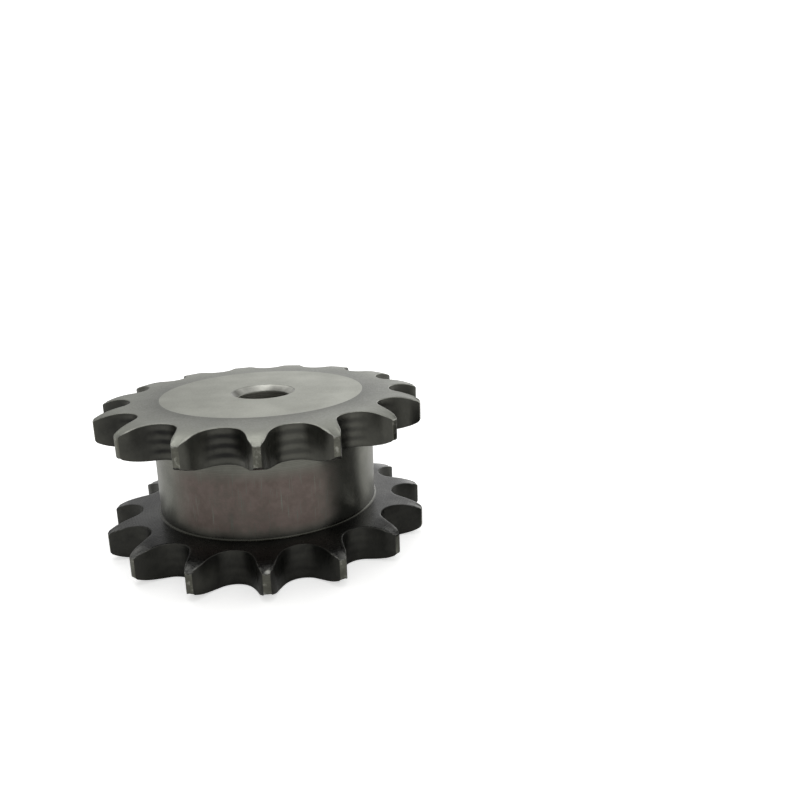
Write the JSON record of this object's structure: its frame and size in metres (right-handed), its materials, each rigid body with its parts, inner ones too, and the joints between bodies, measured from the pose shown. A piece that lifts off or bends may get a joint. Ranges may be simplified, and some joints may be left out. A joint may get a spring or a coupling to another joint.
{
  "type": "double chain sprocket",
  "caption": "Double roller-chain sprocket: two toothed rings joined by a thick hub, with a plain chamfered bore, turned and hobbed from one piece of steel.",
  "frame": {"origin": "centre of the bore, half way between the two end faces", "axes": "+Z along the bore, from the end face it lies on to the other; a tooth space is centred on +X"},
  "size_m": [0.0989, 0.0994, 0.0454],
  "materials": {
    "steel": "bare turned and hobbed steel, lightly oiled"
  },
  "bodies": {
    "root": {"double_sprocket": "steel"}
  },
  "joints": []
}
